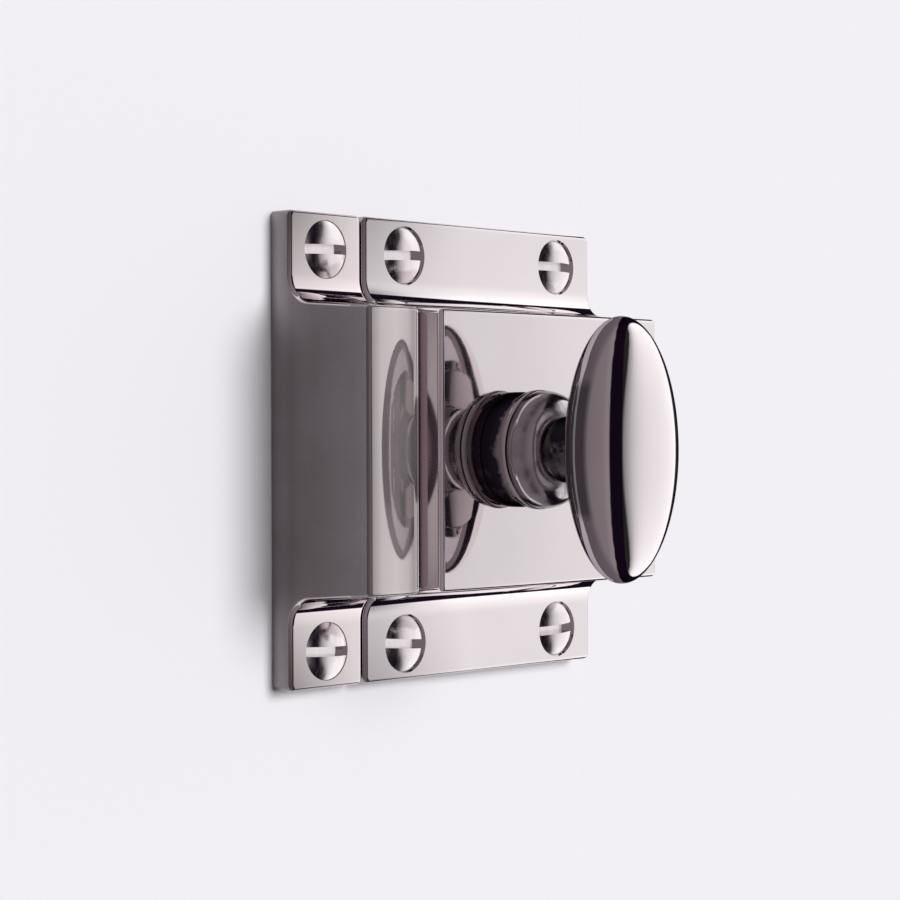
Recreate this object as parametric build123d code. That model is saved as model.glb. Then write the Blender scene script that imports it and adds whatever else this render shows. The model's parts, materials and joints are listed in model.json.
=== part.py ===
from build123d import *
import math
import os

# Surface-mounted cupboard latch: a latch case with a turning oval knob on the right
# and its strike on the left, each screwed to the front of the cabinet.
# Frame: the mounting plane is y = 0 and the latch stands out of it towards -Y.
# +Z is up, and the origin is the centre of the latch case's four screws.
# All sizes are in millimetres. A depth is a distance outward from the mounting plane.

# Castings: both have the same section of screw flanges, coves and raised box
height = 57.0
flange_thickness = 3.0
box_depth = 15.7
box_front_height = 33.6
box_draft = 4.5
cove_radius = 3.2
case_width = 44.1
strike_width = 12.3
strike_gap = 0.35
case_end_draft = 8.0
strike_end_draft = 1.1
corner_radius = 0.75
edge_radius = 0.6

# Strike: the bolt rides over its rounded ramp and springs out into the pocket behind
strike_edge_depth = 15.75
strike_bulge = 0.22
ramp_run = 3.45
ramp_top_depth = 15.6
ramp_low_depth = 11.9
ramp_round = 2.6
lip_thickness = 2.2
lip_land = 0.8
strike_wall = 2.3
pocket_height = 25.0

# Latch case: hollow from the back
case_wall = 2.3
front_wall = 2.3
cavity_height = 28.0
cavity_corner_radius = 1.5
knob_offset = 8.0
boss_radius = 5.8
boss_end_depth = 10.5
guide_rib_thickness = 1.8
guide_rib_height = 9.5
plate_seat_margin = 1.0
joint_overlap = 0.5
post_radius = 2.4

# Knob: a turned stem and an oval head, in one piece with the spindle
head_width = 18.4
head_height = 31.6
head_thickness = 9.3
head_centre_depth = 31.8
neck_radius = 4.0
neck_fillet = 1.6
base_radius = 7.05
base_length = 2.4
base_crown_length = 1.9
ring_radius = 7.3
ring_length = 1.1
ring_edge_radius = 0.4
groove_width = 0.3
groove_depth = 0.6
dome_base_radius = 7.15
dome_height = 3.4
journal_radius = 3.0
journal_clearance = 0.05
square_side = 4.2
shoulder_depth = 9.6
tenon_end_gap = 0.1
knob_running_gap = 0.15

# Cam on the spindle's square end, with its screw and washer
turn_angle = 45.0
cam_throw_radius = 7.45
cam_hub_radius = 4.2
cam_thickness = 5.0
cam_arm_width = 2.2
cam_arm_thickness = 4.0
cam_nose_radius = 1.8
cam_bore_clearance = 0.05
washer_thickness = 0.6
washer_radius = 5.2
washer_clearance = 0.1
cam_screw_radius = 1.25
cam_screw_length = 6.0
cam_screw_head_radius = 2.8
cam_screw_head_height = 1.7
cam_screw_slot_width = 0.7
cam_screw_slot_depth = 0.8
thread_clearance = 0.03
tap_runout = 0.5

# Bolt: slides between the back plate and the case's ribs
bolt_back_depth = 2.0
bolt_front_depth = 9.3
bolt_head_height = 16.0
bolt_body_height = 23.0
bolt_projection = 5.5
bolt_tail_length = 10.0
bolt_nose_flat = 2.6
bolt_bevel_run = 5.0
bolt_bevel_bulge = 0.35
bolt_corner_radius = 0.6
bolt_clearance = 0.3
window_nose_gap = 0.15
window_end_clearance = 0.5
nose_clearance = 0.2

# Spring between the bolt's tail and a web of the case
spring_radius = 2.0
spring_wire = 0.7
spring_length = 13.6
spring_turns = 7
spring_bore_radius = 2.7
spring_bore_depth = 4.0
spring_end_gap = 0.2
web_thickness = 2.5
web_height = 8.0
spigot_radius = 1.3
spigot_length = 4.0

# Back plate and its four small screws
plate_thickness = 1.2
plate_recess = 0.5
plate_height = 31.2
plate_corner_radius = 2.0
plate_clearance = 0.15
plate_screw_x = 15.5
plate_screw_z = 13.2
plate_screw_radius = 1.0
plate_screw_head_radius = 1.9
plate_screw_length = 6.0
plate_screw_slot = 0.5
plate_hole_clearance = 0.1

# Oval-head wood screws, which hold both castings to the cabinet
screw_edge_inset = 4.45
screw_end_inset = 7.3
screw_head_radius = 3.45
screw_dome_height = 0.85
screw_cone_angle = 82.0
screw_shank_radius = 1.75
screw_length = 15.9
screw_tip_length = 4.0
screw_slot_width = 1.15
screw_slot_depth = 1.9
screw_neck_radius = 1.85
screw_shank_start = 0.05
screw_shank_end = 4.2
screw_core_radius = 1.25
screw_hole_radius = 2.15
screw_seat_gap = 0.04
case_countersink_radius = 3.68
strike_countersink_radius = 3.53
case_slot_angles = (2.0, -1.0, -4.0, 3.0)
strike_slot_angles = (1.5, -2.0)

# Places that follow from the sizes above
half_height = height / 2
half_front = box_front_height / 2
case_left = -case_width / 2
case_right = case_width / 2
strike_right = case_left - strike_gap
strike_left = strike_right - strike_width
strike_middle = (strike_left + strike_right) / 2
knob_x = -knob_offset
screw_z = half_height - screw_edge_inset
screw_x = case_width / 2 - screw_end_inset
cavity_depth = box_depth - front_wall
cavity_left = case_left + case_wall
cavity_right = case_right - case_wall
plate_inner_depth = plate_recess + plate_thickness
bolt_mid_depth = (bolt_back_depth + bolt_front_depth) / 2
bolt_tip = case_left - bolt_projection
bolt_shoulder = cavity_left + bolt_clearance
bolt_tail = knob_x + bolt_tail_length
half_swing = math.radians(turn_angle / 2)
bolt_travel = 2 * cam_throw_radius * math.sin(half_swing)
cam_back_depth = shoulder_depth - cam_thickness
spring_start = bolt_tail - spring_bore_depth + spring_end_gap
web_left = spring_start + spring_length + spring_end_gap

case_screw_places = [(x, z) for z in (screw_z, -screw_z) for x in (-screw_x, screw_x)]
strike_screw_places = [(strike_middle, screw_z), (strike_middle, -screw_z)]
plate_screw_places = [
    (x, z) for z in (plate_screw_z, -plate_screw_z) for x in (-plate_screw_x, plate_screw_x)
]


def plan_plane(x=0.0, z=0.0):
    """Sketch plane across the height: first coordinate along X, second outward."""
    return Plane(origin=(x, 0, z), x_dir=(1, 0, 0), z_dir=(0, 0, -1))


def front_plane(depth, x=0.0, z=0.0):
    """Sketch plane at a depth, seen from the front: first coordinate along X, second along Z."""
    return Plane(origin=(x, -depth, z), x_dir=(1, 0, 0), z_dir=(0, -1, 0))


def section_plane(x):
    """Sketch plane across the width: first coordinate outward, second up."""
    return Plane(origin=(x, 0, 0), x_dir=(0, -1, 0), z_dir=(-1, 0, 0))


def block(x_low, x_high, depth_low, depth_high, z_low, z_high):
    """Rectangular block between two corners."""
    plane = front_plane(depth_low, (x_low + x_high) / 2, (z_low + z_high) / 2)
    return extrude(plane * Rectangle(x_high - x_low, z_high - z_low), depth_high - depth_low)


def rod(radius, depth_low, depth_high, x, z):
    """Round rod that points outward."""
    return extrude(front_plane(depth_low, x, z) * Circle(radius), depth_high - depth_low)


def turned(face, x, z):
    """Solid turned about an outward axis from a face drawn in radius and depth."""
    return revolve(plan_plane(x, z) * face, Axis((x, 0, z), (0, -1, 0)))


def cast_section(x_low, x_high, depth):
    """The section that both castings share, drawn out along the width up to a depth."""
    lean = math.tan(math.radians(box_draft))
    foot = half_front + (box_depth - flange_thickness) * lean
    front = half_front + (box_depth - depth) * lean
    outline = Polyline(
        (0, half_height),
        (flange_thickness, half_height),
        (flange_thickness, foot),
        (depth, front),
        (depth, -front),
        (flange_thickness, -foot),
        (flange_thickness, -half_height),
        (0, -half_height),
        close=True,
    )
    face = make_face(outline)
    feet = [corner for corner in face.vertices() if abs(abs(corner.Y) - foot) < 0.01]
    face = fillet(feet, cove_radius)
    return extrude(section_plane(x_high) * face, x_high - x_low)


def casting(x_low, x_high, depth, plan_outline, ramp_x=None):
    """Solid casting: the shared section, cut to its outline seen from above, with soft edges."""
    plan = extrude(plan_plane(0, half_height) * make_face(plan_outline), height)
    solid = cast_section(x_low, x_high, depth) & plan
    corners = solid.edges().filter_by_position(Axis.Y, 0.01 - flange_thickness, -0.01)
    solid = fillet(corners, corner_radius)
    smooth = []
    if ramp_x is not None:
        upright = solid.edges().filter_by(Axis.Z)
        solid = fillet(upright.sort_by_distance((ramp_x, -depth, 0))[0], ramp_round)
        upright = solid.edges().filter_by(Axis.Z)
        smooth = upright.filter_by_position(Axis.X, ramp_x - ramp_round, ramp_x + ramp_round)
    raised = solid.edges().filter_by_position(Axis.Y, -depth, 0.01 - flange_thickness)
    smooth += [
        edge
        for edge in raised.filter_by(Axis.X)
        if edge.center().Y > 0.1 - depth and abs(edge.center().Z) < half_height - 0.1
    ]
    sharp = [edge for edge in raised if not any(edge.is_same(line) for line in smooth)]
    return fillet(sharp, edge_radius)


def screw_hole(x, z, countersink_radius):
    """Clearance hole and countersink for one wood screw."""
    slope = math.tan(math.radians(screw_cone_angle / 2))
    cone_depth = (countersink_radius - screw_hole_radius) / slope
    outline = Polyline(
        (0, -1),
        (screw_hole_radius, -1),
        (screw_hole_radius, flange_thickness - cone_depth),
        (countersink_radius, flange_thickness),
        (countersink_radius, flange_thickness + 1),
        (0, flange_thickness + 1),
        close=True,
    )
    return turned(make_face(outline), x, z)


def wood_screw(x, z, countersink_radius, slot_angle):
    """Oval-head slotted wood screw, seated in its countersink: plain shank, then the thread's core."""
    slope = math.tan(math.radians(screw_cone_angle / 2))
    sink = (countersink_radius - screw_head_radius) / slope
    rim = flange_thickness - sink + screw_seat_gap
    crown = rim + screw_dome_height
    neck = rim - (screw_head_radius - screw_neck_radius) / slope
    tip = rim - screw_length
    core_start = -screw_shank_end - (screw_shank_radius - screw_core_radius)
    dome_sphere = (screw_head_radius ** 2 + screw_dome_height ** 2) / (2 * screw_dome_height)
    outline = Polyline(
        (0, crown),
        (0, tip),
        (screw_core_radius, tip + screw_tip_length),
        (screw_core_radius, core_start),
        (screw_shank_radius, -screw_shank_end),
        (screw_shank_radius, screw_shank_start),
        (screw_neck_radius, neck),
        (screw_head_radius, rim),
    )
    outline += RadiusArc((screw_head_radius, rim), (0, crown), -dome_sphere)
    screw = turned(make_face(outline), x, z)
    slot_plane = front_plane(crown - screw_slot_depth, x, z) * Rotation(0, 0, slot_angle)
    slot = Rectangle(3 * screw_head_radius, screw_slot_width)
    return screw - extrude(slot_plane * slot, 2 * screw_slot_depth)


def make_case_screws():
    """Four wood screws that hold the latch case."""
    return [
        wood_screw(x, z, case_countersink_radius, angle)
        for (x, z), angle in zip(case_screw_places, case_slot_angles)
    ]


def make_strike_screws():
    """Two wood screws that hold the strike."""
    return [
        wood_screw(x, z, strike_countersink_radius, angle)
        for (x, z), angle in zip(strike_screw_places, strike_slot_angles)
    ]


def make_strike():
    """Strike: a narrow casting with a rounded ramp in front and a pocket for the bolt behind."""
    inset = strike_edge_depth * math.tan(math.radians(strike_end_draft))
    front_left = (strike_left + inset, strike_edge_depth)
    ramp_top = (strike_right - ramp_run, ramp_top_depth)
    low_end = (strike_right, ramp_low_depth)
    outline = Polyline(front_left, (strike_left, 0), (strike_right, 0), low_end, ramp_top)
    outline += SagittaArc(front_left, ramp_top, strike_bulge)
    crest = strike_edge_depth + strike_bulge
    strike = casting(strike_left, strike_right, crest, outline, ramp_x=ramp_top[0])

    inner_left = (front_left[0] + strike_wall, strike_edge_depth - lip_thickness)
    inner_top = (ramp_top[0] - lip_land, ramp_top_depth - lip_thickness)
    hollow = Polyline(
        inner_left,
        (strike_left + strike_wall, -1),
        (strike_right + 1, -1),
        (strike_right + 1, ramp_low_depth - lip_thickness),
        (strike_right - lip_land, ramp_low_depth - lip_thickness),
        inner_top,
    )
    hollow += SagittaArc(inner_left, inner_top, strike_bulge)
    strike -= extrude(plan_plane(0, pocket_height / 2) * make_face(hollow), pocket_height)
    for x, z in strike_screw_places:
        strike -= screw_hole(x, z, strike_countersink_radius)
    return strike


def plate_form(margin, depth_low, depth_high):
    """The back plate's outline, grown by a margin, between two depths."""
    plate_width = cavity_right - cavity_left + 2 * (plate_seat_margin - plate_clearance)
    outline = RectangleRounded(plate_width + 2 * margin, plate_height + 2 * margin, plate_corner_radius)
    return extrude(front_plane(depth_low) * outline, depth_high - depth_low)


def make_latch_case():
    """Latch case: a casting, hollow from the back, with a boss, guides, posts and a spring web."""
    inset = box_depth * math.tan(math.radians(case_end_draft))
    front_right = (case_right - inset, box_depth)
    outline = Polyline((case_left, 0), (case_right, 0), front_right, (case_left, box_depth), close=True)
    case = casting(case_left, case_right, box_depth, outline)
    cavity = RectangleRounded(cavity_right - cavity_left, cavity_height, cavity_corner_radius)
    case -= extrude(front_plane(-1) * cavity, cavity_depth + 1)

    root = cavity_depth + joint_overlap
    guide = bolt_body_height / 2 + bolt_clearance
    guide_end = bolt_tail + bolt_travel
    rib_low = bolt_front_depth + bolt_clearance
    rib_near = guide_rib_height - guide_rib_thickness / 2
    rib_far = guide_rib_height + guide_rib_thickness / 2
    for side in (1, -1):
        ledge_z = sorted((side * guide, side * (cavity_height / 2 + joint_overlap)))
        rib_z = sorted((side * rib_near, side * rib_far))
        case += block(cavity_left - joint_overlap, guide_end, plate_inner_depth, root, *ledge_z)
        case += block(cavity_left - joint_overlap, guide_end, rib_low, root, *rib_z)
        case += rod(post_radius, plate_inner_depth, root, plate_screw_x, side * plate_screw_z)
    case += rod(boss_radius, boss_end_depth, root, knob_x, 0)
    web_low = plate_inner_depth + bolt_clearance
    case += block(web_left, web_left + web_thickness, web_low, root, -web_height / 2, web_height / 2)
    spigot_plane = Plane(origin=(web_left, -bolt_mid_depth, 0), x_dir=(0, 1, 0), z_dir=(-1, 0, 0))
    case += extrude(spigot_plane * Circle(spigot_radius), spigot_length)

    case -= rod(journal_radius + journal_clearance, 0, box_depth + 1, knob_x, 0)
    mouth = bolt_head_height / 2 + bolt_clearance
    case -= block(case_left - 1, cavity_left + joint_overlap, -1, rib_low, -mouth, mouth)
    case -= plate_form(plate_clearance, -1, plate_inner_depth)
    screw_end = plate_recess + plate_screw_length
    for x, z in plate_screw_places:
        case -= rod(plate_screw_radius + thread_clearance, 0, screw_end + tap_runout, x, z)
    for x, z in case_screw_places:
        case -= screw_hole(x, z, case_countersink_radius)
    return case


def plate_screw_form(x, z, margin, depth_low):
    """Countersunk head and shank of a back plate screw, grown by a margin."""
    head_radius = plate_screw_head_radius + margin
    shank_radius = plate_screw_radius + margin
    neck = plate_recess + head_radius - shank_radius
    end = plate_recess + plate_screw_length
    corners = [(0, depth_low), (head_radius, depth_low), (head_radius, plate_recess)]
    corners += [(shank_radius, neck), (shank_radius, end), (0, end)]
    if depth_low == plate_recess:
        corners.remove((head_radius, depth_low))
    return turned(make_face(Polyline(corners, close=True)), x, z)


def make_back_plate():
    """Back plate: closes the case and carries the sliding bolt."""
    plate = plate_form(0, plate_recess, plate_inner_depth)
    for x, z in plate_screw_places:
        plate -= plate_screw_form(x, z, plate_hole_clearance, -1)
    return plate


def make_plate_screws():
    """Four small countersunk screws that hold the back plate."""
    reach = plate_screw_head_radius + 1
    half_slot = plate_screw_slot / 2
    slot_floor = plate_recess + plate_screw_slot
    return [
        plate_screw_form(x, z, 0, plate_recess)
        - block(x - reach, x + reach, plate_recess - 1, slot_floor, z - half_slot, z + half_slot)
        for x, z in plate_screw_places
    ]


def rings_of(solid, radius):
    """Circular edges of one radius."""
    circles = solid.edges().filter_by(GeomType.CIRCLE)
    return ShapeList(edge for edge in circles if abs(edge.radius - radius) < 0.01)


def knob_stem():
    """Stem and journal, turned: crowned base, ring and dome between fine grooves, then the neck."""
    base = box_depth + knob_running_gap
    base_top = base + base_length
    crown_low = base_top - base_crown_length
    ring_low = base_top + groove_width
    ring_high = ring_low + ring_length
    dome_low = ring_high + groove_width
    neck_low = dome_low + dome_height
    groove_radius = base_radius - groove_depth
    outline = Polyline(
        (neck_radius, neck_low),
        (neck_radius, head_centre_depth),
        (0, head_centre_depth),
        (0, shoulder_depth),
        (journal_radius, shoulder_depth),
        (journal_radius, base),
        (base_radius, base),
        (base_radius, crown_low),
    )
    outline += TangentArc((base_radius, crown_low), (groove_radius, base_top), tangent=(0, 1))
    outline += Polyline(
        (groove_radius, base_top),
        (groove_radius, ring_low),
        (ring_radius, ring_low),
        (ring_radius, ring_high),
        (groove_radius, ring_high),
        (groove_radius, dome_low),
        (dome_base_radius, dome_low),
    )
    outline += TangentArc((dome_base_radius, dome_low), (neck_radius, neck_low), tangent=(0, 1))
    stem = turned(make_face(outline), knob_x, 0)
    return fillet(rings_of(stem, ring_radius), ring_edge_radius)


def make_knob():
    """Knob: oval head, turned stem, journal and square end, in one piece."""
    half_width = head_width / 2
    half_thickness = head_thickness / 2
    half_ellipse = EllipticalCenterArc((0, 0), half_width, half_thickness, start_angle=-90, arc_size=180)
    profile = make_face(half_ellipse + Line((0, half_thickness), (0, -half_thickness)))
    head = scale(revolve(Plane.XY * profile, Axis.Y), (1, 1, head_height / head_width))
    knob = knob_stem() + Pos(knob_x, -head_centre_depth, 0) * head
    neck_end = head_centre_depth - half_thickness
    joint = [
        edge
        for edge in knob.edges()
        if abs(edge.center().Y + neck_end) < 1
        and 2 * math.pi * neck_radius * 0.9 < edge.length < 2 * math.pi * neck_radius * 1.2
    ]
    knob = fillet(joint, neck_fillet)
    tenon_end = cam_back_depth + tenon_end_gap
    half_side = square_side / 2
    knob += block(knob_x - half_side, knob_x + half_side, tenon_end, shoulder_depth, -half_side, half_side)
    screw_end = cam_back_depth + cam_screw_length
    return knob - rod(cam_screw_radius + thread_clearance, tenon_end - 1, screw_end + tap_runout, knob_x, 0)


def make_cam():
    """Cam: a hub with one arm, whose round nose moves the bolt."""
    hub = rod(cam_hub_radius, cam_back_depth, shoulder_depth, knob_x, 0)
    arm_low = cam_back_depth + (cam_thickness - cam_arm_thickness) / 2
    arm_plane = front_plane(arm_low, knob_x) * Rotation(0, 0, turn_angle / 2)
    arm = Pos(0, cam_throw_radius / 2) * Rectangle(cam_arm_width, cam_throw_radius)
    nose = Pos(0, cam_throw_radius) * Circle(cam_nose_radius)
    cam = hub + extrude(arm_plane * (arm + nose), cam_arm_thickness)
    hole_side = square_side + 2 * cam_bore_clearance
    return cam - block(
        knob_x - hole_side / 2, knob_x + hole_side / 2, 0, box_depth, -hole_side / 2, hole_side / 2
    )


def make_cam_screw():
    """Cheese-head screw that clamps the cam on the spindle's end."""
    head_low = cam_back_depth - cam_screw_head_height
    screw = rod(cam_screw_head_radius, head_low, cam_back_depth, knob_x, 0)
    screw += rod(cam_screw_radius, cam_back_depth, cam_back_depth + cam_screw_length, knob_x, 0)
    reach = cam_screw_head_radius + 1
    slot_low = head_low - 1
    slot_high = head_low + cam_screw_slot_depth
    half_slot = cam_screw_slot_width / 2
    return screw - block(knob_x - reach, knob_x + reach, slot_low, slot_high, -half_slot, half_slot)


def make_knob_washer():
    """Thin washer that turns with the cam, under the case's boss."""
    washer_top = shoulder_depth + washer_thickness
    washer = rod(washer_radius, shoulder_depth, washer_top, knob_x, 0)
    return washer - rod(journal_radius + washer_clearance, shoulder_depth - 1, washer_top + 1, knob_x, 0)


def make_bolt():
    """Bolt: bevelled head, wide body with a window for the cam, and a bore for the spring."""
    nose_low = bolt_front_depth - bolt_nose_flat
    bevel_start = (bolt_tip + bolt_bevel_run, bolt_back_depth)
    head_outline = Polyline(
        (bolt_tip, nose_low),
        (bolt_tip, bolt_front_depth),
        (bolt_shoulder + 1, bolt_front_depth),
        (bolt_shoulder + 1, bolt_back_depth),
        bevel_start,
    )
    head_outline += SagittaArc(bevel_start, (bolt_tip, nose_low), bolt_bevel_bulge)
    head = extrude(plan_plane(0, bolt_head_height / 2) * make_face(head_outline), bolt_head_height)
    body_middle = front_plane(bolt_back_depth, (bolt_shoulder + bolt_tail) / 2)
    body_outline = RectangleRounded(bolt_tail - bolt_shoulder, bolt_body_height, bolt_corner_radius)
    bolt = head + extrude(body_middle * body_outline, bolt_front_depth - bolt_back_depth)

    hub_room = cam_hub_radius + window_end_clearance
    window_left = knob_x - hub_room - bolt_travel
    window_right = knob_x + hub_room
    window_half = cam_throw_radius - cam_nose_radius - window_nose_gap
    bolt -= block(window_left, window_right, 0, box_depth, -window_half, window_half)
    nose_x = knob_x - cam_throw_radius * math.sin(half_swing)
    slot_half = cam_nose_radius + nose_clearance
    slot_top = cam_throw_radius + slot_half
    bolt -= block(nose_x - slot_half, nose_x + slot_half, 0, box_depth, 0, slot_top)
    bore_plane = Plane(origin=(bolt_tail, -bolt_mid_depth, 0), x_dir=(0, 1, 0), z_dir=(-1, 0, 0))
    return bolt - extrude(bore_plane * Circle(spring_bore_radius), spring_bore_depth)


def make_bolt_spring():
    """Compression spring, drawn at its length with the bolt out."""
    coil_length = spring_length - spring_wire
    start = (spring_start + spring_wire / 2, -bolt_mid_depth, 0)
    path = Helix(coil_length / spring_turns, coil_length, spring_radius, center=start, direction=(1, 0, 0))
    wire_section = Plane(origin=path @ 0, z_dir=path % 0) * Circle(spring_wire / 2)
    return sweep(wire_section, path=path, is_frenet=True)


os.makedirs("parts", exist_ok=True)
pieces = {
    "latch_case": make_latch_case(),
    "back_plate": make_back_plate(),
    "back_plate_screws": Compound(children=make_plate_screws()),
    "case_screws": Compound(children=make_case_screws()),
    "knob": make_knob(),
    "knob_washer": make_knob_washer(),
    "cam": make_cam(),
    "cam_screw": make_cam_screw(),
    "bolt": make_bolt(),
    "bolt_spring": make_bolt_spring(),
    "strike": make_strike(),
    "strike_screws": Compound(children=make_strike_screws()),
}
for name, piece in pieces.items():
    export_step(piece, f"parts/{name}.step")
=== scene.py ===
import json
import math

import bpy
from mathutils import Matrix, Vector


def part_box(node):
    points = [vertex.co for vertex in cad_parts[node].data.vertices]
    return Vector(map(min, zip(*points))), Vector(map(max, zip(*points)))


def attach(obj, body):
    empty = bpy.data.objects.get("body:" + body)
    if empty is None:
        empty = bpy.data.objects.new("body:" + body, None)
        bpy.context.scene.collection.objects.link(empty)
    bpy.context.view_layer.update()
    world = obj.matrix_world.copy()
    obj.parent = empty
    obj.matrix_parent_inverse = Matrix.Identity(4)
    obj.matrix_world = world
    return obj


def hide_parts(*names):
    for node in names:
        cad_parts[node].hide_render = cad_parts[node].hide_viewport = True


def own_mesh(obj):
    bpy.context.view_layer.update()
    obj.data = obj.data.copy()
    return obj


# A polished nickel cupboard latch on a pale wall, seen from its left side.
# The wall is the plane y = 0 and the latch stands out of it towards -Y. All sizes are in metres.

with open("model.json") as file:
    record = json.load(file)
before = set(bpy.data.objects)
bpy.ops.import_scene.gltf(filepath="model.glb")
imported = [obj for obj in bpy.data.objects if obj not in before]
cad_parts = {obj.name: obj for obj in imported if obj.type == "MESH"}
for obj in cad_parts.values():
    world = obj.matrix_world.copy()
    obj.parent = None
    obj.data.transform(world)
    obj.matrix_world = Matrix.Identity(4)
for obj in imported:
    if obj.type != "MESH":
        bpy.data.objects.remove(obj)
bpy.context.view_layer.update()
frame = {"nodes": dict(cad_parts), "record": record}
cad_nodes = frame["nodes"]
record = frame["record"]
mounts = {mount["name"]: mount for mount in record["mounts"]}

# Camera: place and direction found from the photograph's edges and corners
camera_place = Vector((-0.232157, -0.206163, 0.002006))
camera_yaw = math.radians(48.013)
camera_pitch = math.radians(-0.397)
camera_roll = math.radians(-0.171)
camera_near = 0.01
camera_far = 20
focal_pixels = 2399.15
image_pixels = 900
sensor_width = 36.0

# Backdrop: a pale board on the mounting plane, seen from its front only and open behind the castings.
# It ends just right of the case, so that the screws show from the side.
board_left = -0.0765
board_right = 0.024
board_half_height = 0.0765
board_depth = 0.0001
board_opening_inset = 0.0008
backdrop_colour = (0.89, 0.87, 0.91, 1)

# Studio: a round light at the right front, in a black surround, with a grey room behind the camera
light_azimuth = math.radians(330)
light_radius = math.radians(44.5)
light_edge = math.radians(1.0)

# Brightness across the light, by how far sideways a direction points, in bands that bend with height.
# A ramp's colours stay under 1, so the levels are divided by light_scale and then multiplied by it.
light_levels = [
    (-0.72, 0.02),
    (-0.70, 0.12),
    (-0.669, 0.34),
    (-0.629, 0.46),
    (-0.53, 0.78),
    (-0.43, 0.97),
    (-0.316, 1.09),
    (-0.2, 1.17),
    (-0.07, 1.21),
    (0.07, 1.26),
    (0.26, 1.34),
    (0.47, 1.42),
    (0.545, 1.45),
    (0.575, 0.04),
    (0.70, 0.02),
]
light_bend = 1.4
light_scale = 2.0

# Colour of the room, by the angle from the light's centre in degrees
black = (0.008, 0.004, 0.012)
room_colours = [
    (0, black),
    (62.5, black),
    (64.5, (0.36, 0.31, 0.33)),
    (70, (0.34, 0.29, 0.31)),
    (76, (0.29, 0.25, 0.27)),
    (105, (0.26, 0.225, 0.245)),
    (130, (0.22, 0.19, 0.21)),
]

# Metal mirrors the backdrop's colour in directions that point this far behind the wall
behind_start = 0.64
behind_full = 0.80

# Fill for the painted wall: an even pale room and a soft key light that casts the shadow to the left
fill_colour = (0.17, 0.17, 0.17, 1)
key_azimuth = math.radians(284)
key_elevation = math.radians(15)
key_width = math.radians(36)
key_strength = 2.68

# Wood screws: thread cut on the core behind the plain shank, three corners to its outline
thread_pitch = 0.00141
thread_start = 0.0044
thread_core_radius = 0.00125
thread_height = 0.0005
thread_half_width = 0.00042
thread_root_depth = 0.00012
thread_tip_length = 0.004
thread_tip_fade = 2
thread_steps = 28
thread_corners = 3

# Colours of the metals
nickel_colour = (0.66, 0.605, 0.62)
strike_colour = (0.675, 0.597, 0.613)
cast_colour = (0.34, 0.315, 0.30)
# Tarnish on the knob's stem, also used as painted shade at its foot, its neck and the head's left rim
tarnish_and_shade_colour = (0.035, 0.03, 0.045, 1)
# The end faces' colour is darker than the nickel: painted shade for the dark surroundings that they
# mirror
end_shade_colour = (0.17, 0.150, 0.156)
back_colour = (0.40, 0.38, 0.385)
steel_colour = (0.56, 0.55, 0.53)
zinc_colour = (0.55, 0.56, 0.58)
wire_colour = (0.42, 0.41, 0.40)

# Lowest and highest roughness of each surface, and what duller places add to it
casting_roughness = (0.03, 0.07)
hollow_dullness = 0.45
end_dullness = 0.22
back_dullness = 0.26
knob_roughness = (0.02, 0.04)
stem_dullness = 0.3
screw_roughness = (0.12, 0.22)
steel_roughness = (0.24, 0.38)
steel_patches = (0.0, 0.1)
zinc_roughness = (0.30, 0.46)
wire_roughness = (0.25, 0.40)

# Range that soft noise mostly fills, and the narrower range that tints use
noise_range = (0.3, 0.7)
tint_range = (0.35, 0.65)

# Finish and painted shading of each casting: its colour, the dull film on its front, how far its
# unpolished hollow reaches from the wall, and by x the painted shade on its outer corners and the
# painted light and shade across its front
case_finish_and_shading = {
    "colour": nickel_colour,
    "haze": 0.02,
    "hollow_depth": 0.0135,
    # corner: painted shade at the outer corners, by x; front: painted light and shade across the front,
    # by x
    "corner": [(-0.0221, 0.64), (-0.003, 0.08)],
    "front": [
        (-0.02205, 1.32),
        (-0.0218, 1.32),
        (-0.0215, 0.92),
        (-0.010, 0.89),
        (0.005, 0.95),
        (0.022, 1.0),
    ],
}
strike_finish_and_shading = {
    "colour": strike_colour,
    "haze": 0.30,
    "hollow_depth": 0.0096,
    # corner: painted shade at the outer corners, by x; front: painted light and shade across the front,
    # by x
    "corner": [(-0.0347, 1.0), (-0.0224, 0.15)],
    "front": [
        (-0.0347, 0.55),
        (-0.0343, 0.36),
        (-0.0338, 0.46),
        (-0.0324, 0.72),
        (-0.0300, 0.76),
        (-0.0279, 0.62),
        (-0.0270, 0.42),
        (-0.0260, 0.38),
        (-0.0255, 1.32),
    ],
}

# Depth where a front begins, the band in which it blends with the sides, and where the film lies on it
front_depth = 0.0130
front_blend = 0.0008
film_depths = (0.0135, 0.0145)
haze_spread = 0.3

# Edges of the hollows: the back plate's, moved in on the right, and the strike's pocket, which keeps a
# wall on the left and is passed a little on its other sides
plate_seat = 0.0007
pocket_left_wall = 0.0018
pocket_past_right = 0.001
pocket_past_ends = 0.0003

# Painted light and shade behind the front: an even level, painted shade at the outer corners, and a
# painted highlight along the coves of the flanges
painted_side_level = 1.04
corner_heights = (0.019, 0.0285)
corner_painted_shade = (0.23, 0.70)
cove_edge = 0.0180
cove_painted_highlight = 0.25
cove_rise = 0.0008
cove_fall = 0.003

# End faces and backs are plated but not buffed: the ends' painted light and shade by depth, which
# stands in for the shaded wall that they mirror, and where they lie
end_light_and_shade_levels = [
    (0.0, 1.75),
    (0.001, 1.70),
    (0.0032, 0.97),
    (0.0070, 0.76),
    (0.0100, 0.78),
    (0.0134, 0.86),
    (0.0160, 1.12),
]
end_left = -0.0339
end_right = 0.0214
back_depth = 0.0002
facing_range = (0.80, 0.97)

# What hand polishing does to the fronts: the strike's is crowned in its height, its ramp's hidden side
# leans less, and the case's falls away to the left
strike_crown = 2.0
ramp_start = -0.0259
ramp_depth = 0.009
ramp_ease = 0.34
front_fall_end = -0.004
front_fall = 2.2
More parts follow.
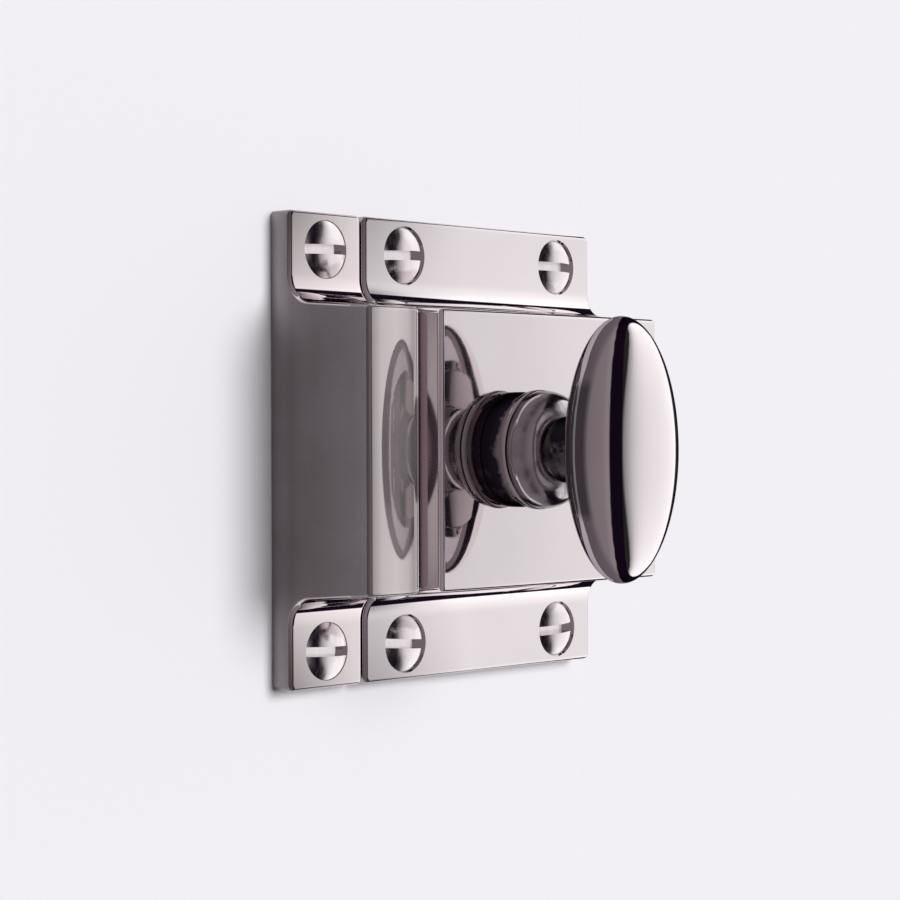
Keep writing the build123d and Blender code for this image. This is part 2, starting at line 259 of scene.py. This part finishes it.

# Tarnish and painted shade on the knob's stem, by depth: darkest at its foot against the case and at
# the neck under the head; and the depth where the head begins
stem_tarnish_and_shade = [
    (0.0157, 1.60),
    (0.0174, 1.55),
    (0.0181, 0.60),
    (0.0185, 0.10),
    (0.0197, 0.10),
    (0.0200, 0.55),
    (0.0208, 0.30),
    (0.0214, 0.32),
    (0.0220, 0.75),
    (0.0225, 0.40),
    (0.0232, 0.60),
    (0.0240, 1.10),
    (0.0262, 1.10),
    (0.0275, 0.0),
]
stain_clouds = (0.42, 0.58)
stain_share = (0.6, 1.0)
head_back = 0.0270

# Painted shade on the head's left rim, which darkens its reflection, by shares of the head's outline
# and half width, and by height
rim_shares = (0.875, 0.94)
rim_shade_strength = 0.78
rim_side = (-0.15, 0.0)
rim_middle = 0.0072
rim_middle_blend = 0.0012
rim_end_share = 0.52


class Tree:
    """A node tree, with short calls for the nodes that the surfaces share."""

    def __init__(self, owner):
        owner.use_nodes = True
        self.nodes = owner.node_tree.nodes
        self.links = owner.node_tree.links
        self.nodes.clear()

    def add(self, kind, inputs=None, **settings):
        """New node. Each input gets a value, or is linked to another node's output."""
        node = self.nodes.new("ShaderNode" + kind)
        for name, value in settings.items():
            setattr(node, name, value)
        for place, value in (inputs or {}).items():
            if isinstance(value, bpy.types.NodeSocket):
                self.links.new(value, node.inputs[place])
            else:
                node.inputs[place].default_value = value
        return node

    def math(self, operation, first, second=0.0):
        """One operation on two numbers."""
        return self.add("Math", {0: first, 1: second}, operation=operation).outputs[0]

    def product(self, *factors):
        """Numbers multiplied together."""
        total = factors[0]
        for factor in factors[1:]:
            total = self.math("MULTIPLY", total, factor)
        return total

    def dot(self, vector, direction):
        """How far a vector reaches along a direction."""
        node = self.add("VectorMath", {0: vector, 1: direction}, operation="DOT_PRODUCT")
        return node.outputs["Value"]

    def span(self, source, low, high, to_low=0.0, to_high=1.0, smooth=False):
        """Carry the range from low to high over to another range, and hold both ends."""
        kind = "SMOOTHSTEP" if smooth else "LINEAR"
        places = {0: source, 1: low, 2: high, 3: to_low, 4: to_high}
        return self.add("MapRange", places, interpolation_type=kind).outputs[0]

    def mix(self, share, first, second):
        """Colour between two colours."""
        return self.add("Mix", {0: share, 6: first, 7: second}, data_type="RGBA").outputs[2]

    def mix_number(self, share, first, second):
        """Number between two numbers."""
        return self.add("Mix", {0: share, 2: first, 3: second}).outputs[0]

    def ramp(self, source, stops):
        """Colour ramp with the given places and colours."""
        node = self.add("ValToRGB", {0: source})
        elements = node.color_ramp.elements
        while len(elements) > 1:
            elements.remove(elements[-1])
        for number, (place, colour) in enumerate(stops):
            element = elements.new(place) if number else elements[0]
            element.position = place
            element.color = (*colour, 1)
        return node.outputs[0]

    def curve(self, source, stops):
        """Number that runs through the given places and levels."""
        first, last = stops[0][0], stops[-1][0]
        places = [((place - first) / (last - first), (level,) * 3) for place, level in stops]
        return self.ramp(self.span(source, first, last), places)

    def place(self, stretch=(1, 1, 1)):
        """Place on the piece in metres, scaled along each axis."""
        node = self.add("Mapping", {0: self.add("TexCoord").outputs["Object"], 3: stretch})
        return node.outputs[0]

    def axes(self):
        """Place on the piece as three numbers, x, y and z."""
        return self.add("SeparateXYZ", {0: self.place()}).outputs

    def normals(self):
        """Direction of the surface as three numbers, x, y and z."""
        return self.add("SeparateXYZ", {0: self.add("TexCoord").outputs["Normal"]}).outputs

    def depth(self):
        """Distance in front of the mounting plane."""
        return self.math("MULTIPLY", self.axes()[1], -1.0)

    def noise(self, scale, detail, stretch=(1, 1, 1)):
        """Soft noise by place. A larger scale makes finer noise."""
        places = {"Vector": self.place(stretch), "Scale": scale, "Detail": detail}
        return self.add("TexNoise", places).outputs[0]

    def vary(self, noise, levels, part=noise_range):
        """Number that follows a noise between two levels, over a part of the noise's range."""
        return self.span(noise, *part, *levels)

    def tint(self, colour, spread, scale):
        """A colour that varies a little from place to place."""
        low = [part * (1 - spread) for part in colour] + [1]
        high = [part * (1 + spread) for part in colour] + [1]
        return self.mix(self.span(self.noise(scale, detail=3.0), *tint_range), low, high)

    def shade(self, colour, level):
        """Colour times a number."""
        return self.add("VectorMath", {0: colour, 3: level}, operation="SCALE").outputs[0]

    def bump(self, height, distance=1.0, normal=None):
        """Bump of the given height, in metres where the distance is 1."""
        places = {"Height": height, "Distance": distance, "Strength": 1.0}
        if normal is not None:
            places["Normal"] = normal
        return self.add("Bump", places).outputs[0]

    def metal(self, colour, roughness, normal, **others):
        """Metal shader, linked to the output."""
        places = {"Base Color": colour, "Metallic": 1.0, "Roughness": roughness, "Normal": normal}
        places.update(others)
        shader = self.add("BsdfPrincipled", places)
        self.add("OutputMaterial", {"Surface": shader.outputs[0]})


def new_material(name):
    """Empty material and its node tree."""
    material = bpy.data.materials.new(name)
    return material, Tree(material)


def new_object(name, data):
    """Object in the scene, for a mesh, a lamp or a camera."""
    item = bpy.data.objects.new(name, data)
    bpy.context.scene.collection.objects.link(item)
    return item


def make_camera():
    """Camera at the photograph's viewing angle."""
    level = math.cos(camera_pitch)
    forward_level = (math.sin(camera_yaw) * level, math.cos(camera_yaw) * level)
    forward = Vector((*forward_level, math.sin(camera_pitch)))
    level_right = forward.cross(Vector((0, 0, 1))).normalized()
    level_up = level_right.cross(forward)
    right = math.cos(camera_roll) * level_right + math.sin(camera_roll) * level_up
    up = math.cos(camera_roll) * level_up - math.sin(camera_roll) * level_right
    data = bpy.data.cameras.new("camera")
    data.sensor_width = sensor_width
    data.lens = focal_pixels / image_pixels * sensor_width
    data.clip_start = camera_near
    data.clip_end = camera_far
    camera = new_object("camera", data)
    columns = (right, up, -forward, camera_place)
    rows = [[column[axis] for column in columns] for axis in range(3)]
    camera.matrix_world = Matrix(rows + [[0, 0, 0, 1]])
    bpy.context.scene.camera = camera


def make_board():
    """Pale board on the mounting plane, clear from behind, so that the latch's back is seen too."""
    openings = [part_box("strike"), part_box("latch_case")]
    across = [board_left]
    for low, high in openings:
        across += [low[0] + board_opening_inset, high[0] - board_opening_inset]
    across.append(board_right)
    low_edge = openings[0][0][2] + board_opening_inset
    heights = [-board_half_height, low_edge, -low_edge, board_half_height]
    corners = [(x, board_depth, z) for z in heights for x in across]
    columns = len(across)
    faces = []
    for row in range(len(heights) - 1):
        for column in range(columns - 1):
            is_opening = row == 1 and column % 2 == 1
            if is_opening:
                continue
            first = row * columns + column
            faces.append((first, first + 1, first + 1 + columns, first + columns))
    mesh = bpy.data.meshes.new("board")
    mesh.from_pydata(corners, [], faces)
    board = new_object("board", mesh)
    material, tree = new_material("board_paint")
    paint = tree.add("BsdfDiffuse", {"Color": backdrop_colour}).outputs[0]
    clear = tree.add("BsdfTransparent").outputs[0]
    behind = tree.add("NewGeometry").outputs["Backfacing"]
    surface = tree.add("MixShader", {0: behind, 1: paint, 2: clear})
    tree.add("OutputMaterial", {"Surface": surface.outputs[0]})
    mesh.materials.append(material)


def compass(azimuth, elevation=0.0):
    """Direction from an angle that is counted from +X towards +Y, and a height above the horizon."""
    level = math.cos(elevation)
    return Vector((math.cos(azimuth) * level, math.sin(azimuth) * level, math.sin(elevation)))


def make_studio():
    """Studio that the metal reflects, an even fill for painted surfaces and a pale background."""
    world = bpy.data.worlds.new("studio")
    bpy.context.scene.world = world
    tree = Tree(world)
    direction = tree.add("TexCoord").outputs["Generated"]
    _, back, height = tree.add("SeparateXYZ", {0: direction}).outputs
    towards = tree.dot(direction, compass(light_azimuth))
    sideways = tree.dot(direction, compass(light_azimuth + math.pi / 2))
    height_squared = tree.product(height, height)

    bent = tree.math("SUBTRACT", sideways, tree.product(height_squared, light_bend))
    glow = tree.curve(bent, [(place, level / light_scale) for place, level in light_levels])
    boost = tree.product(tree.math("ADD", height_squared, 1.0), light_scale)
    glow = tree.shade(glow, boost)

    angle = tree.math("DIVIDE", tree.math("ARCCOSINE", towards), math.pi)
    room = tree.ramp(angle, [(degrees / 180, colour) for degrees, colour in room_colours])
    outside = math.cos(light_radius + light_edge)
    inside = math.cos(light_radius - light_edge)
    studio = tree.mix(tree.span(towards, outside, inside, smooth=True), room, glow)
    behind = tree.span(back, behind_start, behind_full, smooth=True)
    studio = tree.mix(behind, studio, backdrop_colour)

    ray = tree.add("LightPath").outputs
    lit = tree.add("Background", {"Color": studio}).outputs[0]
    fill = tree.add("Background", {"Color": fill_colour}).outputs[0]
    pale = tree.add("Background", {"Color": backdrop_colour}).outputs[0]
    light = tree.add("MixShader", {0: ray["Is Diffuse Ray"], 1: lit, 2: fill}).outputs[0]
    seen = tree.add("MixShader", {0: ray["Is Camera Ray"], 1: light, 2: pale}).outputs[0]
    tree.add("OutputWorld", {"Surface": seen})


def make_key_light():
    """Soft light for the wall, which gives the shadow at the latch's left. Metal doesn't mirror it."""
    data = bpy.data.lights.new("key", "SUN")
    data.energy = key_strength
    data.angle = key_width
    key = new_object("key", data)
    key.rotation_euler = compass(key_azimuth, key_elevation).to_track_quat("Z", "Y").to_euler()
    key.visible_glossy = False


def within(tree, low, high, depth_limit):
    """1 inside a box that reaches from the mounting plane to a depth, and 0 outside."""
    x, y, z = tree.axes()
    share = tree.math("GREATER_THAN", y, -depth_limit)
    for value, start, end in ((x, low[0], high[0]), (z, low[2], high[2])):
        above = tree.math("GREATER_THAN", value, start)
        below = tree.math("LESS_THAN", value, end)
        share = tree.product(share, above, below)
    return share


def end_faces(tree):
    """1 on the outer end faces, which are plated but not buffed and get painted shade, and 0 elsewhere.
    """
    facing = tree.span(tree.math("ABSOLUTE", tree.normals()[0]), *facing_range, smooth=True)
    x = tree.axes()[0]
    left = tree.math("LESS_THAN", x, end_left)
    right = tree.math("GREATER_THAN", x, end_right)
    return tree.product(facing, tree.math("MAXIMUM", left, right))


def back_face(tree):
    """1 on the flat back, which is ground and plated but not buffed, and 0 elsewhere."""
    facing = tree.span(tree.normals()[1], *facing_range, smooth=True)
    return tree.product(facing, tree.math("LESS_THAN", tree.depth(), back_depth))


def painted_shading(tree, front_light_and_shade, corner_shade):
    """Painted light and shade on the polish: darker towards the outer corners and along the front's
    edges, brighter beside the coves.
    """
    x, _, z = tree.axes()
    height = tree.math("ABSOLUTE", z)
    cove_level = painted_side_level + cove_painted_highlight
    rise = tree.span(height, cove_edge - cove_rise, cove_edge, painted_side_level, cove_level)
    fall = tree.span(height, cove_edge, cove_edge + cove_fall, cove_level, painted_side_level)
    beside_cove = tree.math("MINIMUM", rise, fall)
    outer = tree.span(height, *corner_heights, *corner_painted_shade)
    loss = tree.product(tree.curve(x, corner_shade), outer)
    side = tree.math("SUBTRACT", beside_cove, loss)
    front = tree.span(tree.depth(), front_depth - front_blend, front_depth, smooth=True)
    return tree.mix_number(front, side, tree.curve(x, front_light_and_shade))


def strike_polish(tree, normal):
    """Crown of the strike's front, and the gentler lean of its ramp's hidden side."""
    x, _, z = tree.axes()
    normal = tree.bump(tree.product(z, z, -strike_crown), normal=normal)
    past = tree.math("MAXIMUM", tree.math("SUBTRACT", x, ramp_start), 0.0)
    raised = tree.product(past, tree.math("GREATER_THAN", tree.depth(), ramp_depth))
    return tree.bump(raised, ramp_ease, normal)


def case_polish(tree, normal):
    """Fall of the case's front towards its left edge."""
    x = tree.axes()[0]
    inward = tree.math("MAXIMUM", tree.math("SUBTRACT", front_fall_end, x), 0.0)
    return tree.bump(tree.product(inward, inward, -front_fall), normal=normal)


def casting_nickel(name, finish_and_shading, low, high, hand_polish):
    """Polished nickel outside, with painted light and shade, painted shade on the end faces, and the
    plated but unpolished cast surface inside the hollow.
    """
    material, tree = new_material(name)
    hollow = within(tree, low, high, finish_and_shading["hollow_depth"])
    ends = end_faces(tree)
    back = back_face(tree)
    polished = tree.tint(finish_and_shading["colour"], spread=0.025, scale=60)
    # Painted light and shade: the polished colour is made darker at the outer corners, lighter beside
    # the coves, and lighter or darker across the front
    colour = tree.shade(polished, painted_shading(tree, finish_and_shading["front"], finish_and_shading["corner"]))
    # End faces: a darker colour and a brightness by depth, painted shade and light that mimic the
    # shaded wall they mirror
    end_shaded = tree.tint(end_shade_colour, spread=0.06, scale=120)
    end_shaded = tree.shade(end_shaded, tree.curve(tree.depth(), end_light_and_shade_levels))
    colour = tree.mix(ends, colour, end_shaded)
    colour = tree.mix(back, colour, tree.tint(back_colour, spread=0.10, scale=160))
    colour = tree.mix(hollow, colour, tree.tint(cast_colour, spread=0.15, scale=500))

    roughness = tree.vary(tree.noise(scale=95, detail=4.0), casting_roughness, part=(0.3, 0.75))
    dullness = tree.product(hollow, hollow_dullness)
    dullness = tree.math("MAXIMUM", dullness, tree.product(ends, end_dullness))
    dullness = tree.math("MAXIMUM", dullness, tree.product(back, back_dullness))
    roughness = tree.math("ADD", roughness, dullness)

    normal = tree.bump(tree.noise(scale=140, detail=2.0), distance=0.0000015)
    grain = tree.product(tree.noise(scale=2200, detail=3.0), hollow)
    normal = hand_polish(tree, tree.bump(grain, 0.00006, normal))

    thin = finish_and_shading["haze"] * (1 - haze_spread)
    thick = finish_and_shading["haze"] * (1 + haze_spread)
    front = tree.span(tree.depth(), *film_depths)
    film = tree.product(front, tree.vary(tree.noise(scale=75, detail=3.0), (thin, thick)))
    tree.metal(colour, roughness, normal, Metallic=tree.math("SUBTRACT", 1.0, film))
    return material


def rim_painted_shade(tree, depth):
    """Painted shade on the head's left rim, which darkens the reflection there."""
    low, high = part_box("knob")
    centre = (low[0] + high[0]) / 2
    x, _, z = tree.axes()
    across = tree.math("DIVIDE", tree.math("SUBTRACT", x, centre), (high[0] - low[0]) / 2)
    up = tree.math("DIVIDE", z, (high[2] - low[2]) / 2)
    reach = tree.math("ADD", tree.product(across, across), tree.product(up, up))
    shaded = tree.span(reach, *rim_shares, 0.0, rim_shade_strength)
    left = tree.span(across, *rim_side, 1.0, 0.0)
    height = tree.math("ABSOLUTE", z)
    middle = tree.span(height, rim_middle, rim_middle + rim_middle_blend, 1.0, rim_end_share)
    on_head = tree.math("GREATER_THAN", depth, head_back)
    return tree.product(shaded, left, middle, on_head)


def knob_nickel():
    """Polished nickel head. The stem is duller, with tarnish and painted shade that are darkest at its
    foot and neck.
    """
    material, tree = new_material("knob_nickel")
    depth = tree.depth()
    clouds = tree.vary(tree.noise(scale=420, detail=4.0), stain_share, part=stain_clouds)
    # Tarnish with painted shade: the stem is darkened by depth, most at its foot and neck, and the
    # head's left rim is darkened too
    tarnish_and_shade = tree.product(tree.curve(depth, stem_tarnish_and_shade), clouds)
    tarnish_and_shade = tree.math("MAXIMUM", tarnish_and_shade, rim_painted_shade(tree, depth))
    tarnish_and_shade = tree.math("MINIMUM", tarnish_and_shade, 1.0)
    colour = tree.mix(tarnish_and_shade, tree.tint(nickel_colour, spread=0.02, scale=70), tarnish_and_shade_colour)
    edge = tree.mix(tarnish_and_shade, (1, 1, 1, 1), tarnish_and_shade_colour)
    polish = tree.vary(tree.noise(scale=110, detail=3.0), knob_roughness)
    on_stem = tree.math("LESS_THAN", depth, head_back)
    roughness = tree.math("ADD", polish, tree.product(tarnish_and_shade, on_stem, stem_dullness))
    normal = tree.bump(tree.noise(scale=260, detail=2.0), distance=0.0000004)
    tree.metal(colour, roughness, normal, **{"Specular Tint": edge})
    return material


def screw_nickel():
    """Nickel with a fine brushed grain."""
    material, tree = new_material("screw_nickel")
    grain = tree.noise(scale=2600, detail=3.0, stretch=(1, 1, 0.12))
    colour = tree.tint(nickel_colour, spread=0.06, scale=700)
    tree.metal(colour, tree.vary(grain, screw_roughness), tree.bump(grain, distance=0.000004))
    return material


def ground_steel(name, stretch):
    """Steel with grinding marks along one direction."""
    material, tree = new_material(name)
    marks = tree.noise(scale=3500, detail=4.0, stretch=stretch)
    patches = tree.vary(tree.noise(scale=180, detail=3.0), steel_patches)
    roughness = tree.math("ADD", tree.vary(marks, steel_roughness), patches)
    colour = tree.tint(steel_colour, spread=0.08, scale=220)
    tree.metal(colour, roughness, tree.bump(marks, distance=0.000006))
    return material


def zinc_plate():
    """Rolled sheet with cloudy zinc plate."""
    material, tree = new_material("zinc_plate")
    cells = tree.add("TexVoronoi", {"Vector": tree.place(), "Scale": 420.0}).outputs["Distance"]
    roughness = tree.vary(cells, zinc_roughness, part=(0.0, 0.9))
    rolled = tree.noise(scale=2400, detail=3.0, stretch=(0.08, 1, 1))
    colour = tree.tint(zinc_colour, spread=0.10, scale=260)
    tree.metal(colour, roughness, tree.bump(rolled, distance=0.000005))
    return material


def spring_wire():
    """Drawn steel wire with a dark oiled finish."""
    material, tree = new_material("spring_wire")
    marks = tree.noise(scale=3000, detail=3.0)
    colour = tree.tint(wire_colour, spread=0.12, scale=800)
    tree.metal(colour, tree.vary(marks, wire_roughness), tree.bump(marks, distance=0.000004))
    return material


def dress(piece, material):
    """Give a piece one material."""
    piece.data.materials.clear()
    piece.data.materials.append(material)


def helix(place, tip):
    """Corners and faces of one screw's thread, which tapers away at its start and at the point."""
    x, z = place
    length = tip - thread_start
    turns = length / thread_pitch
    steps = round(turns * thread_steps)
    corners, faces = [], []
    for step in range(steps + 1):
        y = thread_start + length * step / steps
        left = (tip - y) / thread_tip_length
        fade = min(1, thread_tip_fade * left)
        core = thread_core_radius * min(1, left)
        rise = thread_height * min(fade, step / thread_steps)
        half = thread_half_width * fade
        root = max(core - thread_root_depth, 0)
        angle = 2 * math.pi * turns * step / steps
        for radius, along in ((root, y - half), (core + rise, y), (root, y + half)):
            corners.append((x + radius * math.cos(angle), along, z + radius * math.sin(angle)))
        if step:
            now = thread_corners * step
            before = now - thread_corners
            for side in range(thread_corners):
                other = (side + 1) % thread_corners
                faces.append((before + side, before + other, now + other, now + side))
    last = thread_corners * steps
    faces += [(2, 1, 0), (last, last + 1, last + 2)]
    return corners, faces


def make_threads(name, node, places, material):
    """Threads of one group of wood screws, as one piece that stays with the case."""
    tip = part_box(node)[1][1]
    corners, faces = [], []
    for place in places:
        new_corners, new_faces = helix(place, tip)
        count = len(corners)
        corners += new_corners
        faces += [tuple(corner + count for corner in face) for face in new_faces]
    mesh = bpy.data.meshes.new(name)
    mesh.from_pydata(corners, [], faces)
    threads = new_object(name, mesh)
    dress(threads, material)
    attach(threads, "case")


def make_spring(material):
    """Bolt spring, a copy of the part that stays with the case."""
    spring = new_object("coil_spring", cad_nodes["bolt_spring"].data.copy())
    dress(spring, material)
    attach(spring, "case")
    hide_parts("bolt_spring")
    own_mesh(spring)


make_camera()
make_board()
make_studio()
make_key_light()

plate_low, plate_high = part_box("back_plate")
plate_high = [plate_high[0] - plate_seat, *plate_high[1:]]
strike_low, strike_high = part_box("strike")
pocket_low, pocket_high = record["physics"]["openings"][0]["box_m"]
pocket_low = [strike_low[0] + pocket_left_wall, 0, pocket_low[2] - pocket_past_ends]
pocket_high = [strike_high[0] + pocket_past_right, 0, pocket_high[2] + pocket_past_ends]

brushed_nickel = screw_nickel()
small_steel = ground_steel("small_steel", stretch=(1, 0.08, 1))
finishes = {
    "latch_case": casting_nickel("case_nickel", case_finish_and_shading, plate_low, plate_high, case_polish),
    "strike": casting_nickel("strike_nickel", strike_finish_and_shading, pocket_low, pocket_high, strike_polish),
    "knob": knob_nickel(),
    "case_screws": brushed_nickel,
    "strike_screws": brushed_nickel,
    "bolt": ground_steel("bolt_steel", stretch=(0.06, 1, 1)),
    "back_plate": zinc_plate(),
    "back_plate_screws": small_steel,
    "cam": small_steel,
    "cam_screw": small_steel,
    "knob_washer": small_steel,
}
for node, material in finishes.items():
    dress(cad_nodes[node], material)

case_screw_dims = mounts["case_screws"]["dims"]
half_x = case_screw_dims["spacing_x_mm"] / 1000 / 2
half_z = case_screw_dims["spacing_y_mm"] / 1000 / 2
strike_x = mounts["strike_screws"]["pos_m"][0]
case_places = [(x, z) for x in (-half_x, half_x) for z in (-half_z, half_z)]
strike_places = [(strike_x, z) for z in (-half_z, half_z)]
make_threads("case_screw_threads", "case_screws", case_places, brushed_nickel)
make_threads("strike_screw_threads", "strike_screws", strike_places, brushed_nickel)
make_spring(spring_wire())

bpy.context.scene.view_settings.view_transform = "Standard"
